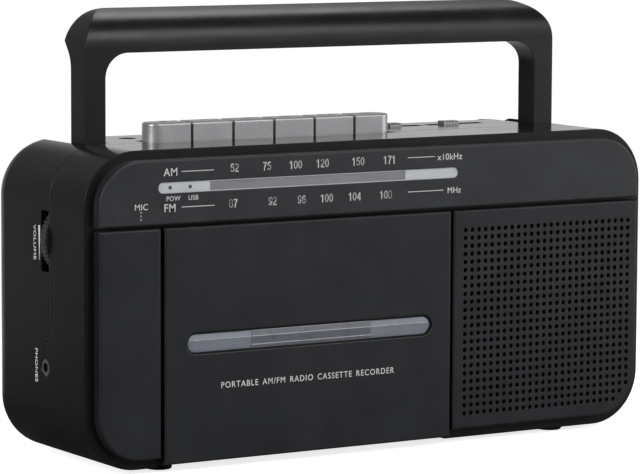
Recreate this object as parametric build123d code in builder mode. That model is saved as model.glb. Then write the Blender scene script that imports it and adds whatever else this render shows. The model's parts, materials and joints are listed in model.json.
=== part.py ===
from build123d import *
from math import cos, radians, sin
import os

# Portable AM/FM radio cassette recorder with a fold-back carry handle.
# Millimetres. X runs to the right along the front, the front faces -Y, Z is up.
# The origin is on the resting plane, under the middle of the cabinet.

# ------------------------------------------------------------------ driving dimensions
width = 250.0
depth = 80.0
body_height = 118.0
foot_height = 2.0
corner_radius = 21.0  # rounding of the front outline
rear_radius = 11.0  # rounding of the rear edge
wall = 2.2

front_y = -depth / 2  # face of the front panels
rear_y = depth / 2
panel_depth = 4.6  # how far the front panels stand out of the ledge
ledge_y = front_y + panel_depth
inner_front_y = ledge_y + 2.4
seam_y = -7.5  # joint between the two cabinet halves

bottom_z = foot_height
top_z = bottom_z + body_height
mid_z = (bottom_z + top_z) / 2

panel_side_inset = 4.0
panel_top_inset = 3.4
panel_radius = 17.0
panel_skin = 1.8
panel_rim = 1.4
seam_z = 92.6  # lower edge of the dial panel
panel_gap = 1.2

door_left = -94.0
door_right = 32.2
door_bottom = 3.4
door_top = seam_z - panel_gap
door_side_gap = 1.5
door_pivot_y = -34.0
door_pivot_z = 9.5

bay_left = -92.0
bay_right = 30.4
bay_top = 90.6

slot_left = -96.7  # dial window slot
slot_right = 35.3
slot_height = 4.2
slot_z = 106.2
scale_left = -74.7
scale_right = 11.1
pointer_x = -38.0
led_x = (-91.5, -83.1)

reel_gap = 42.5
cassette_x = (door_left + door_right) / 2
window_z = 47.9
window_height = 8.2
window_left = -84.9
window_right = 23.5

grille_x0 = 38.8
grille_z0 = 83.6
grille_pitch = 3.11
grille_columns = 26
grille_rows = 24
grille_hole = 1.8
speaker_x = grille_x0 + grille_pitch * (grille_columns - 1) / 2
speaker_z = grille_z0 - grille_pitch * (grille_rows - 1) / 2

key_names = ("record_key", "play_key", "rewind_key", "fast_forward_key", "stop_eject_key", "pause_key")
key_pitch = 18.06
key_gap = 1.2
keys_left = -82.73
key_front_y = -9.6
key_depth = 11.3
key_top_z = 127.3
key_rod_y = 20.0
key_rod_z = 114.3
key_rod_radius = 1.5
key_arm_width = 6.0

handle_outer_x = 106.4
handle_inner_x = 97.7
leg_front_y = -1.3
leg_rear_y = 9.9
handle_pivot_y = (leg_front_y + leg_rear_y) / 2
handle_pivot_z = 110.0
bar_bottom_z = 153.5
bar_top_z = 169.8
handle_outer_radius = 16.0
handle_inner_radius = 9.5
channel_outer_x = 107.6
channel_inner_x = 96.5
channel_wall = 1.8

thumb_radius = 15.4
thumb_x = width / 2 + 1.3 - thumb_radius  # centre of both thumbwheels
thumb_z = 85.0
thumb_y0 = -7.1
thumb_y1 = -3.1
thumb_slot_half = 11.4

jack_y = -4.2
jack_z = 37.7
jack_ring_radius = 3.3

antenna_y = 33.3
antenna_z = 114.3
antenna_pivot_x = 88.0
tip_radius = 2.4
groove_front_y = 26.6
groove_floor_z = 109.8
antenna_turn = -1.8  # the antenna leans back a little from its pivot, to pass the cabinet's end

battery_x = (-60.0, 44.0)
battery_y = (11.0, 37.8)
battery_z = (17.0, 71.0)

back_panel_x = (-92.0, 92.0)
back_panel_z = (13.4, 100.0)
back_panel_gap = 0.15
inlet_x = (-88.0, -71.6)
inlet_z = (46.0, 56.0)

chassis_y = -20.0  # front face of the tape chassis
chassis_plate = 1.5
capstan_x = cassette_x - 31.0
capstan_z = 74.3
motor_x = 12.0
motor_z = 30.0
motor_front_y = -10.0
belt_y = -15.0
hinge_rod_radius = 0.8
switch_y = 14.0
function_slot = (36.6, 53.0)
band_slot = (55.6, 82.2)
aux_x = -80.2

screw_places = ((-101.0, 10.5), (101.0, 10.5), (-91.0, 105.5), (91.0, 105.5))
screw_bore = 1.3
seam_bevel = 0.25
boss_radius = 3.3
speaker_axis = Axis((speaker_x, 0, speaker_z), (0, 1, 0))

os.makedirs("parts", exist_ok=True)


# ------------------------------------------------------------------ helpers
def facing(y):
    """Upright plane at this Y: sketches read as seen from the front, and extrude towards the front."""
    return Plane(origin=(0, y, 0), x_dir=(1, 0, 0), z_dir=(0, -1, 0))


def block(x, y, z, mode=Mode.ADD):
    """A box between pairs of X, Y and Z values, in the part being built."""
    middle = ((x[0] + x[1]) / 2, (y[0] + y[1]) / 2, (z[0] + z[1]) / 2)
    with Locations(middle):
        Box(x[1] - x[0], y[1] - y[0], z[1] - z[0], mode=mode)


def rod_along_x(x, y, z, radius, mode=Mode.ADD):
    """A round bar from x[0] to x[1], in the part being built."""
    with Locations(Location(((x[0] + x[1]) / 2, y, z), (0, 90, 0))):
        Cylinder(radius, x[1] - x[0], mode=mode)


def rod_along_y(x, y, z, radius, mode=Mode.ADD):
    """A round bar from y[0] to y[1], in the part being built."""
    with Locations(Location((x, (y[0] + y[1]) / 2, z), (90, 0, 0))):
        Cylinder(radius, y[1] - y[0], mode=mode)


def rod_along_z(x, y, z, radius, mode=Mode.ADD):
    """A round bar from z[0] to z[1], in the part being built."""
    with Locations((x, y, (z[0] + z[1]) / 2)):
        Cylinder(radius, z[1] - z[0], mode=mode)


def save(part, name):
    """Label a finished piece and write its STEP file."""
    part.label = name
    export_step(part, f"parts/{name}.step")


def front_tray(band_x, band_z):
    """A moulded front panel: the part of the rounded front outline inside a band, hollow at the back."""
    band_middle = ((band_x[0] + band_x[1]) / 2, (band_z[0] + band_z[1]) / 2)
    outline_z = (bottom_z + panel_side_inset + top_z - panel_top_inset) / 2
    outline_height = body_height - panel_side_inset - panel_top_inset
    with BuildPart() as tray:
        with BuildSketch(facing(ledge_y)):
            with Locations((0, outline_z)):
                RectangleRounded(width - 2 * panel_side_inset, outline_height, panel_radius)
            with Locations(band_middle):
                Rectangle(band_x[1] - band_x[0], band_z[1] - band_z[0], mode=Mode.INTERSECT)
        extrude(amount=panel_depth)
        face_edges = tray.faces().sort_by(Axis.Y)[0].edges()
        fillet(face_edges, 0.8)
        with BuildSketch(facing(ledge_y)):
            with Locations((0, outline_z)):
                RectangleRounded(width - 2 * panel_side_inset, outline_height, panel_radius)
            with Locations(band_middle):
                Rectangle(band_x[1] - band_x[0], band_z[1] - band_z[0], mode=Mode.INTERSECT)
            offset(amount=-panel_rim, kind=Kind.INTERSECTION, mode=Mode.REPLACE)
        extrude(amount=panel_depth - panel_skin, mode=Mode.SUBTRACT)
    return tray.part


# Frame of the antenna: origin at its pivot, X along the lying tube towards the pivot end.
antenna_lean = Location((antenna_pivot_x, antenna_y, antenna_z), (0, 0, antenna_turn))

# ------------------------------------------------------------------ cabinet
# Outer form of the whole cabinet, used to trim what is moulded inside it.
with BuildPart() as cabinet_form:
    with BuildSketch(facing(rear_y)):
        with Locations((0, mid_z)):
            RectangleRounded(width, body_height, corner_radius)
    extrude(amount=rear_y - ledge_y)
    fillet(cabinet_form.faces().sort_by(Axis.Y)[-1].edges(), rear_radius)

# Front half: a rim, the ledge wall behind the panels, with the cassette bay and speaker openings.
with BuildPart() as front_cabinet:
    with BuildSketch(facing(seam_y)):
        with Locations((0, mid_z)):
            RectangleRounded(width, body_height, corner_radius)
    extrude(amount=seam_y - ledge_y)
    chamfer(front_cabinet.faces().sort_by(Axis.Y)[-1].edges(), seam_bevel)
    with BuildSketch(facing(seam_y)):
        with Locations((0, mid_z)):
            RectangleRounded(width - 2 * wall, body_height - 2 * wall, corner_radius - wall)
    extrude(amount=seam_y - inner_front_y, mode=Mode.SUBTRACT)
    # cassette bay, with a notch under it for the foot of the door
    block((bay_left, bay_right), (ledge_y - 1, inner_front_y + 1), (door_pivot_z - 5, bay_top), Mode.SUBTRACT)
    block((door_left - 0.7, door_right + 0.5), (ledge_y - 1, -31.0), (0, 6.4), Mode.SUBTRACT)
    rod_along_y(speaker_x, (ledge_y - 1, inner_front_y + 1), speaker_z, 34.0, Mode.SUBTRACT)
    hinge_span = (bay_left - 1.5, bay_right + 1.5)
    rod_along_x(hinge_span, door_pivot_y, door_pivot_z, hinge_rod_radius, Mode.SUBTRACT)
    # slot for the pointer's tail and hole for the microphone
    block((scale_left - 2, scale_right + 3), (ledge_y - 1, inner_front_y + 1), (109.6, 112.4), Mode.SUBTRACT)
    rod_along_y(-103.8, (ledge_y - 1, inner_front_y + 1), 98.0, 3.1, Mode.SUBTRACT)
    # posts for the tape chassis
    for post_x in (-94.5, 33.4):
        for post_z in (14.0, 86.0):
            rod_along_y(post_x, (inner_front_y - 0.5, chassis_y), post_z, 2.2)
    # tab round the headphone socket, and the half of its hole that is in this piece
    block((-width / 2, -width / 2 + wall), (seam_y - 1, jack_y), (jack_z - 9.8, jack_z + 9.8))
    rod_along_x((-width / 2 - 1, -width / 2 + wall + 1), jack_y, jack_z, jack_ring_radius, Mode.SUBTRACT)
    # relief in front of the keys
    key_span = (keys_left - 0.7, keys_left + 6 * key_pitch - key_gap + 0.7)
    block(key_span, (key_front_y - 1.4, seam_y + 1), (top_z - wall - 1, top_z + 1), Mode.SUBTRACT)
    for place_x, place_z in screw_places:
        rod_along_y(place_x, (inner_front_y - 0.5, seam_y), place_z, boss_radius)
        rod_along_y(place_x, (-22.0, seam_y + 1), place_z, screw_bore, Mode.SUBTRACT)
save(front_cabinet.part, "front_cabinet")

# Solid material round the two handle channels and the antenna groove, trimmed to the cabinet's form.
with BuildPart() as rear_blocks:
    for side in (-1, 1):
        channel_x = sorted((side * (channel_inner_x - channel_wall), side * (channel_outer_x + channel_wall)))
        block(channel_x, (handle_pivot_y - 8.2, rear_y), (101.9, top_z))
    block((-width / 2, 95.0), (groove_front_y - 2, rear_y), (groove_floor_z - wall, top_z))
    add(cabinet_form.part, mode=Mode.INTERSECT)

# Rear half: a deep shell that carries the handle and the keys' opening; a flat panel closes its back.
with BuildPart() as rear_cabinet:
    with BuildSketch(facing(rear_y)):
        with Locations((0, mid_z)):
            RectangleRounded(width, body_height, corner_radius)
    extrude(amount=rear_y - seam_y)
    fillet(rear_cabinet.faces().sort_by(Axis.Y)[-1].edges(), rear_radius)
    offset(amount=-wall, openings=rear_cabinet.faces().sort_by(Axis.Y)[0])
    chamfer(rear_cabinet.faces().sort_by(Axis.Y)[0].outer_wire().edges(), seam_bevel)
    add(rear_blocks.part)
    for place_x, place_z in screw_places:
        rod_along_y(place_x, (seam_y, rear_y - wall), place_z, boss_radius)
        rod_along_y(place_x, (seam_y - 1, rear_y + 1), place_z, 1.7, Mode.SUBTRACT)
        rod_along_y(place_x, (28.0, rear_y + 1), place_z, 2.9, Mode.SUBTRACT)
    # handle channels, open to the top and the rear, with the pivot holes in their walls
    for side in (-1, 1):
        channel_x = sorted((side * channel_inner_x, side * channel_outer_x))
        block(channel_x, (handle_pivot_y - 6.2, rear_y + 1), (103.8, top_z + 1), Mode.SUBTRACT)
    rod_along_x((-110, 110), handle_pivot_y, handle_pivot_z, 3.0, Mode.SUBTRACT)
    # antenna groove
    block((-channel_outer_x, 93.0), (groove_front_y, rear_y + 1), (groove_floor_z, top_z + 1), Mode.SUBTRACT)
    # shallow relief in the end of the cabinet, where the pulled-out antenna passes it
    with Locations(antenna_lean * Location((-antenna_pivot_x - 120.0, 0, 0), (0, 90, 0))):
        Cylinder(tip_radius + 0.3, 60.0, mode=Mode.SUBTRACT)
    # journal for the swivel of the antenna
    with Locations(antenna_lean * Location((5.0, 0, 0), (0, 90, 0))):
        Cylinder(1.5, 2.0, mode=Mode.SUBTRACT)
    # openings for the keys, the two slide switches and the top socket
    block(key_span, (seam_y - 1, key_front_y + key_depth + 0.7), (top_z - wall - 1, top_z + 1), Mode.SUBTRACT)
    for slot in (function_slot, band_slot):
        block(slot, (switch_y - 2.6, switch_y + 2.6), (top_z - wall - 1, top_z + 1), Mode.SUBTRACT)
    rod_along_z(aux_x, switch_y, (top_z - wall - 1, top_z + 1), 3.3, Mode.SUBTRACT)
    # slots for the thumbwheels
    for side in (-1, 1):
        slot_x = sorted((side * (width / 2 - wall - 1), side * (width / 2 + 1)))
        slot_z_span = (thumb_z - thumb_slot_half, thumb_z + thumb_slot_half)
        block(slot_x, (seam_y - 1, thumb_y1 + 1.5), slot_z_span, Mode.SUBTRACT)
    # notch for the front half's tab, and this half of the socket hole
    tab_x = (-width / 2 - 1, -width / 2 + wall + 0.5)
    block(tab_x, (seam_y - 1, jack_y + 0.2), (jack_z - 10.0, jack_z + 10.0), Mode.SUBTRACT)
    rod_along_x(tab_x, jack_y, jack_z, jack_ring_radius, Mode.SUBTRACT)
    # opening for the back panel
    panel_x = (back_panel_x[0] - back_panel_gap, back_panel_x[1] + back_panel_gap)
    panel_z = (back_panel_z[0] - back_panel_gap, back_panel_z[1] + back_panel_gap)
    block(panel_x, (rear_y - wall - 1, rear_y + 1), panel_z, Mode.SUBTRACT)
save(rear_cabinet.part, "rear_cabinet")

# Flat back panel, held from inside by a lip at its upper and lower edge.
with BuildPart() as rear_panel:
    block(back_panel_x, (rear_y - wall, rear_y), back_panel_z)
    for lip_z, root_z in (((12.3, 15.0), (13.6, 15.0)), ((98.4, 101.1), (98.4, 99.8))):
        block((-88.0, 88.0), (rear_y - wall - 1.6, rear_y - wall - 0.1), lip_z)
        block((-88.0, 88.0), (rear_y - wall - 1.6, rear_y - wall + 0.2), root_z)
    block(battery_x, (rear_y - wall - 1, rear_y + 1), battery_z, Mode.SUBTRACT)
    block(inlet_x, (rear_y - wall - 1, rear_y + 1), inlet_z, Mode.SUBTRACT)
save(rear_panel.part, "rear_panel")

# ------------------------------------------------------------------ front panels
# Upper dial panel, with the window slot and three small microphone holes.
dial_panel_part = front_tray((-width, width), (seam_z, top_z))
slot_middle_x = (slot_left + slot_right) / 2
with BuildPart() as dial_panel:
    add(dial_panel_part)
    with BuildSketch(facing(ledge_y)):
        with Locations((slot_middle_x, slot_z)):
            SlotOverall(slot_right - slot_left, slot_height)
    extrude(amount=panel_depth + 1, mode=Mode.SUBTRACT)
    for hole_z in (97.6, 96.3, 95.0):
        rod_along_y(-103.8, (front_y - 1, ledge_y + 1), hole_z, 0.5, Mode.SUBTRACT)
save(dial_panel.part, "dial_panel")

with BuildPart() as dial_window:
    with BuildSketch(facing(front_y + 1.7)):
        with Locations((slot_middle_x, slot_z)):
            SlotOverall(slot_right - slot_left, slot_height)
    extrude(amount=1.5)
save(dial_window.part, "dial_window")

# White plate behind the window; the pointer runs in front of it.
with BuildPart() as dial_backplate:
    block((slot_left - 2, slot_right + 2), (ledge_y - 0.8, ledge_y), (slot_z - 3.4, slot_z + 2.8))
save(dial_backplate.part, "dial_backplate")

with BuildPart() as status_leds:
    for x in led_x:
        rod_along_y(x, (ledge_y - 2.0, ledge_y - 0.8), slot_z, 1.1)
    fillet(status_leds.faces().filter_by(Axis.Y).group_by(Axis.Y)[0].edges(), 0.6)
save(status_leds.part, "status_leds")

save(front_tray((-width, door_left - door_side_gap), (0, door_top)), "left_front_panel")

# Loudspeaker panel with its square grid of holes; the last corner follows the rounded outline.
grille_points = []
for row in range(grille_rows):
    missing = max(0, row - grille_rows + 3)
    for column in range(grille_columns - missing):
        grille_points.append((grille_x0 + column * grille_pitch, grille_z0 - row * grille_pitch))
speaker_panel = front_tray((door_right + panel_gap, width), (0, door_top))
with BuildPart() as speaker_grille:
    add(speaker_panel)
    with BuildSketch(facing(ledge_y)):
        with Locations(*grille_points):
            Circle(grille_hole / 2)
    extrude(amount=panel_depth + 1, mode=Mode.SUBTRACT)
save(speaker_grille.part, "speaker_grille")

# ------------------------------------------------------------------ loudspeaker and microphone
with BuildPart() as speaker_basket:
    with BuildSketch(Plane.XY.offset(speaker_z)):
        with BuildLine():
            Polyline(
                (speaker_x + 33.5, inner_front_y),
                (speaker_x + 38.4, inner_front_y),
                (speaker_x + 38.4, inner_front_y + 1.6),
                (speaker_x + 35.0, inner_front_y + 1.6),
                (speaker_x + 21.0, inner_front_y + 15.0),
                (speaker_x + 10.0, inner_front_y + 15.0),
                (speaker_x + 10.0, inner_front_y + 13.6),
                (speaker_x + 20.4, inner_front_y + 13.6),
                close=True,
            )
        make_face()
    revolve(axis=speaker_axis)
save(speaker_basket.part, "speaker_basket")

with BuildPart() as speaker_cone:
    with BuildSketch(Plane.XY.offset(speaker_z)):
        with BuildLine():
            Polyline(
                (speaker_x, inner_front_y + 7.4),
                (speaker_x + 6.0, inner_front_y + 8.6),
                (speaker_x + 9.0, inner_front_y + 10.8),
                (speaker_x + 30.6, inner_front_y + 0.9),
                (speaker_x + 32.2, inner_front_y + 0.9),
                (speaker_x + 9.0, inner_front_y + 12.0),
                (speaker_x, inner_front_y + 9.4),
                close=True,
            )
        make_face()
    revolve(axis=speaker_axis)
save(speaker_cone.part, "speaker_cone")

with BuildPart() as speaker_magnet:
    rod_along_y(speaker_x, (inner_front_y + 15.0, inner_front_y + 23.0), speaker_z, 21.0)
    rod_along_y(speaker_x, (inner_front_y + 23.0, inner_front_y + 24.6), speaker_z, 17.0)
    fillet(speaker_magnet.edges().filter_by(GeomType.CIRCLE), 0.5)
save(speaker_magnet.part, "speaker_magnet")

with BuildPart() as microphone:
    rod_along_y(-103.8, (ledge_y, ledge_y + 4.6), 98.0, 3.0)
save(microphone.part, "microphone")

# ------------------------------------------------------------------ cassette door
with BuildPart() as cassette_door:
    with BuildSketch(facing(ledge_y - 0.3)):
        with Locations(((door_left + door_right) / 2, (door_bottom + door_top) / 2)):
            Rectangle(door_right - door_left, door_top - door_bottom)
    extrude(amount=panel_depth - 0.3)
    fillet(cassette_door.faces().sort_by(Axis.Y)[0].edges(), 0.8)
    pocket_z = (door_bottom + panel_rim, door_top - panel_rim)
    pocket_x = (door_left + panel_rim, door_right - panel_rim)
    block(pocket_x, (front_y + panel_skin, ledge_y + 1), pocket_z, Mode.SUBTRACT)
    # window recess right through, with a seat for the lens
    with BuildSketch(facing(ledge_y)):
        with Locations(((window_left + window_right) / 2, window_z)):
            SlotOverall(window_right - window_left, window_height)
    extrude(amount=panel_depth + 1, mode=Mode.SUBTRACT)
    # relief at the foot of both sides, so that they pass the ledge as the door turns
    for side_x in ((door_left - 1, door_left + panel_rim), (door_right - panel_rim, door_right + 1)):
        block(side_x, (ledge_y - 1.6, ledge_y + 1), (door_bottom + panel_rim, 12.5), Mode.SUBTRACT)
    # hinge ears that reach back into the bay
    for ear_x in (bay_left + 1.0, bay_right - 3.0):
        block((ear_x, ear_x + 2.0), (front_y + panel_skin - 0.3, door_pivot_y + 2.6), (door_pivot_z - 2.6, 22.0))
    rod_along_x(hinge_span, door_pivot_y, door_pivot_z, hinge_rod_radius + 0.05, Mode.SUBTRACT)
save(cassette_door.part, "cassette_door")

with BuildPart() as door_window:
    with BuildSketch(facing(front_y + panel_skin)):
        with Locations(((window_left + window_right) / 2, window_z)):
            SlotOverall(window_right - window_left, window_height)
    extrude(amount=1.3)
    ridge_z = (window_z - 0.5, window_z + 0.5)
    block((window_left + 6, window_right - 6), (front_y + 0.1, front_y + 0.6), ridge_z)
save(door_window.part, "door_window")

# Pocket that holds the cassette behind the door: two side channels joined by a floor.
holder_half = 51.0
with BuildPart() as cassette_holder:
    for side in (-1, 1):
        wall_x = sorted((cassette_x + side * holder_half, cassette_x + side * (holder_half + 1.6)))
        lip_x = sorted((cassette_x + side * (holder_half - 5.0), cassette_x + side * (holder_half + 1.6)))
        block(wall_x, (front_y + panel_skin, -23.6), (16.6, 78.0))
        block(lip_x, (-24.9, -23.6), (16.6, 78.0))
    floor_x = (cassette_x - holder_half, cassette_x + holder_half)
    block(floor_x, (front_y + panel_skin, -23.6), (16.6, 18.2))
save(cassette_holder.part, "cassette_holder")

# Steel wire that the door turns on, its ends held in the front half's side posts.
with BuildPart() as door_hinge_rod:
    rod_along_x(hinge_span, door_pivot_y, door_pivot_z, hinge_rod_radius)
save(door_hinge_rod.part, "door_hinge_rod")

# ------------------------------------------------------------------ tape mechanism
plate_rear_y = chassis_y + chassis_plate
with BuildPart() as tape_chassis:
    block((-97.0, 36.0), (chassis_y, plate_rear_y), (9.0, 101.5))
    # ears that carry the keys' rod
    for ear_x in (-86.4, 27.4):
        block((ear_x, ear_x + 1.4), (chassis_y, key_rod_y + 3.5), (104.0, 117.0))
        block((ear_x, ear_x + 1.4), (chassis_y, chassis_y + 9.0), (97.0, 104.0))
    rod_along_x((-87.0, 30.0), key_rod_y, key_rod_z, key_rod_radius, Mode.SUBTRACT)
    # pillars that carry the motor
    for turn in (-100, -20, 60):
        pillar_x = motor_x + 10.0 * cos(radians(turn))
        pillar_z = motor_z + 10.0 * sin(radians(turn))
        rod_along_y(pillar_x, (plate_rear_y - 0.5, motor_front_y), pillar_z, 1.8)
    # bearings of the capstan and the two reel spindles
    for hole_x, hole_z, hole_radius in (
        (capstan_x, capstan_z, 2.04),
        (cassette_x - reel_gap / 2, window_z, 1.54),
        (cassette_x + reel_gap / 2, window_z, 1.54),
    ):
        rod_along_y(hole_x, (chassis_y - 1, plate_rear_y + 1), hole_z, hole_radius, Mode.SUBTRACT)
save(tape_chassis.part, "tape_chassis")

with BuildPart() as key_rod:
    rod_along_x((-88.0, 30.0), key_rod_y, key_rod_z, key_rod_radius)
save(key_rod.part, "key_rod")

for index, key_name in enumerate(key_names):
    left = keys_left + index * key_pitch
    right = left + key_pitch - key_gap
    middle = (left + right) / 2 + 2.0
    with BuildPart() as key:
        block((left, right), (key_front_y, key_front_y + key_depth), (113.4, key_top_z))
        upright = key.edges().filter_by(Axis.Z)
        if index == 0:
            fillet(upright.group_by(Axis.X)[0], 5.0)
        if index == len(key_names) - 1:
            fillet(upright.group_by(Axis.X)[-1], 5.0)
        fillet(key.faces().sort_by(Axis.Z)[-1].edges(), 0.9)
        # hollow underside, then the arm and the boss that turns on the rod
        hollow_x = (left + 1.6, right - 1.6)
        if index == 0:
            hollow_x = (left + 5.0, right - 1.6)
        if index == len(key_names) - 1:
            hollow_x = (left + 1.6, right - 5.0)
        hollow_y = (key_front_y + 1.6, key_front_y + key_depth - 1.6)
        block(hollow_x, hollow_y, (113.0, key_top_z - 1.8), Mode.SUBTRACT)
        arm_x = (middle - key_arm_width / 2, middle + key_arm_width / 2)
        block(arm_x, (key_front_y + key_depth - 1.6, key_rod_y), (112.6, 115.6))
        rod_along_x(arm_x, key_rod_y, key_rod_z, 3.0)
        rod_along_x((left, right), key_rod_y, key_rod_z, key_rod_radius + 0.05, Mode.SUBTRACT)
    save(key.part, key_name)

with BuildPart() as flywheel:
    rod_along_y(capstan_x, (plate_rear_y + 1.0, plate_rear_y + 6.0), capstan_z, 19.0)
    rod_along_y(capstan_x, (plate_rear_y + 0.4, plate_rear_y + 1.0), capstan_z, 4.0)
    rod_along_y(capstan_x, (chassis_y - 0.5, plate_rear_y + 1.0), capstan_z, 2.0)
    rod_along_y(capstan_x, (-31.0, chassis_y), capstan_z, 1.0)
    # belt groove
    with BuildSketch(Plane.XY.offset(capstan_z)):
        with Locations((capstan_x + 19.0, plate_rear_y + 3.5)):
            Rectangle(2.0, 2.4)
    revolve(axis=Axis((capstan_x, 0, capstan_z), (0, 1, 0)), mode=Mode.SUBTRACT)
save(flywheel.part, "flywheel")

spindle_names = ("take_up_spindle", "supply_spindle")
for side, spindle_name in zip((-1, 1), spindle_names):
    hub_x = cassette_x + side * reel_gap / 2
    with BuildPart() as spindle:
        rod_along_y(hub_x, (chassis_y - 2.4, chassis_y - 0.3), window_z, 8.0)
        rod_along_y(hub_x, (-30.6, chassis_y - 2.4), window_z, 2.6)
        rod_along_y(hub_x, (chassis_y - 0.3, plate_rear_y + 1.4), window_z, 1.5)
        rod_along_y(hub_x, (plate_rear_y + 0.3, plate_rear_y + 1.4), window_z, 2.6)
        for turn in range(3):
            angle = radians(90 + 120 * turn)
            with Locations((hub_x + 2.9 * cos(angle), -26.5, window_z + 2.9 * sin(angle))):
                Box(1.6, 7.0, 1.6)
    save(spindle.part, spindle_name)

with BuildPart() as tape_motor:
    rod_along_y(motor_x, (motor_front_y, motor_front_y + 20.0), motor_z, 13.5)
    fillet(tape_motor.faces().sort_by(Axis.Y)[-1].edges(), 1.5)
    rod_along_y(motor_x, (motor_front_y - 1.4, motor_front_y), motor_z, 3.0)
    rod_along_y(motor_x, (motor_front_y - 2, motor_front_y + 18.0), motor_z, 0.85, Mode.SUBTRACT)
save(tape_motor.part, "tape_motor")

# Shaft and grooved pulley of the motor, in line with the flywheel's belt groove.
with BuildPart() as motor_pulley:
    rod_along_y(motor_x, (belt_y - 2.2, motor_front_y + 17.5), motor_z, 0.8)
    rod_along_y(motor_x, (belt_y - 1.8, belt_y + 1.8), motor_z, 4.0)
    with BuildSketch(Plane.XY.offset(motor_z)):
        with Locations((motor_x + 4.0, belt_y)):
            Rectangle(2.0, 2.0)
    revolve(axis=Axis((motor_x, 0, motor_z), (0, 1, 0)), mode=Mode.SUBTRACT)
save(motor_pulley.part, "motor_pulley")

# Flat rubber belt round the pulley and the flywheel.
with BuildPart() as drive_belt:
    for belt_growth, belt_mode in ((0.9, Mode.ADD), (0.2, Mode.SUBTRACT)):
        with BuildSketch(facing(belt_y + 0.7)):
            with Locations((motor_x, motor_z)):
                Circle(3.0 + belt_growth)
            with Locations((capstan_x, capstan_z)):
                Circle(18.0 + belt_growth)
            make_hull()
        extrude(amount=1.4, mode=belt_mode)
save(drive_belt.part, "drive_belt")

with BuildPart() as head_bridge:
    block((capstan_x - 9.0, 4.0), (-23.4, -22.2), (88.2, 99.0))
    rod_along_y(capstan_x, (-32.0, -22.2), capstan_z + 11.4, 0.9)
    block((capstan_x - 3.0, capstan_x + 3.0), (-23.4, -22.2), (capstan_z + 9.4, 89.0))
    # stand-offs that keep the plate clear of the chassis
    for pad_x in (-60.0, -2.0):
        block((pad_x - 2.0, pad_x + 2.0), (-22.2, chassis_y - 0.3), (92.0, 97.0))
save(head_bridge.part, "head_bridge")

with BuildPart() as tape_heads:
    block((cassette_x - 6.0, cassette_x + 6.0), (-31.0, -23.4), (84.6, 94.0))
    block((cassette_x + 10.0, cassette_x + 16.0), (-30.0, -23.4), (84.6, 93.0))
    fillet(tape_heads.faces().filter_by(Axis.Z).group_by(Axis.Z)[0].edges().filter_by(Axis.Y), 2.0)
save(tape_heads.part, "tape_heads")

with BuildPart() as pinch_roller:
    rod_along_y(capstan_x, (-31.4, -24.0), capstan_z + 11.4, 5.4)
    rod_along_y(capstan_x, (-32.0, -23.0), capstan_z + 11.4, 0.95, Mode.SUBTRACT)
save(pinch_roller.part, "pinch_roller")

# ------------------------------------------------------------------ dial mechanism and thumbwheels
with BuildPart() as dial_pointer:
    block((pointer_x - 0.9, pointer_x + 0.9), (ledge_y - 2.2, ledge_y - 1.3), (slot_z - 2.6, 113.0))
    block((pointer_x - 3.0, pointer_x + 3.0), (ledge_y - 2.2, ledge_y - 1.3), (109.8, 113.0))
    block((pointer_x - 1.6, pointer_x + 1.6), (ledge_y - 1.4, inner_front_y + 1.6), (110.2, 111.8))
save(dial_pointer.part, "dial_pointer")

thumb_names = ("volume_wheel", "tuning_wheel")
grip_teeth = 58
for side, thumb_name in zip((-1, 1), thumb_names):
    centre_x = side * thumb_x
    with BuildPart() as thumbwheel:
        rod_along_y(centre_x, (thumb_y0, thumb_y1), thumb_z, thumb_radius)
        for tooth in range(grip_teeth):
            angle = radians(360 * tooth / grip_teeth)
            groove_x = centre_x + thumb_radius * cos(angle)
            groove_z = thumb_z + thumb_radius * sin(angle)
            rod_along_y(groove_x, (thumb_y0 - 1, thumb_y1 + 1), groove_z, 0.35, Mode.SUBTRACT)
        rod_along_y(centre_x, (thumb_y0 - 1, thumb_y1 + 1), thumb_z, 2.05, Mode.SUBTRACT)
    save(thumbwheel.part, thumb_name)

with BuildPart() as volume_control:
    rod_along_y(-thumb_x, (thumb_y1 + 0.6, thumb_y1 + 7.6), thumb_z, 6.5)
    rod_along_y(-thumb_x, (thumb_y0 + 0.2, thumb_y1 + 0.6), thumb_z, 2.0)
    block((-thumb_x - 5.0, -thumb_x + 5.0), (thumb_y1 + 1.6, thumb_y1 + 3.0), (thumb_z - 11.0, thumb_z - 4.0))
save(volume_control.part, "volume_control")

with BuildPart() as tuning_capacitor:
    block((thumb_x - 9.0, thumb_x + 6.5), (thumb_y1 + 0.6, thumb_y1 + 11.6), (thumb_z - 8.0, thumb_z + 8.0))
    fillet(tuning_capacitor.edges().filter_by(Axis.Y), 1.0)
    rod_along_y(thumb_x, (thumb_y0 + 0.2, thumb_y1 + 0.6), thumb_z, 2.0)
save(tuning_capacitor.part, "tuning_capacitor")

# ------------------------------------------------------------------ switches and sockets
switches = (
    ("function_switch", function_slot, 39.9, 5.2),
    ("band_switch", band_slot, 66.5, 7.2),
)
for switch_name, slot, knob_x, knob_length in switches:
    with BuildPart() as knob:
        block((knob_x - knob_length / 2, knob_x + knob_length / 2), (switch_y - 2.2, switch_y + 2.2), (116.3, 121.4))
        for rib in range(4):
            rib_x = knob_x + (rib - 1.5) * knob_length / 5
            block((rib_x - 0.3, rib_x + 0.3), (switch_y - 3, switch_y + 3), (120.8, 122.0), Mode.SUBTRACT)
    save(knob.part, f"{switch_name}_knob")
    with BuildPart() as switch_body:
        block((slot[0] - 1.0, slot[1] + 1.0), (switch_y - 3.5, switch_y + 3.5), (108.6, 116.0))
    save(switch_body.part, switch_name)

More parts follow.
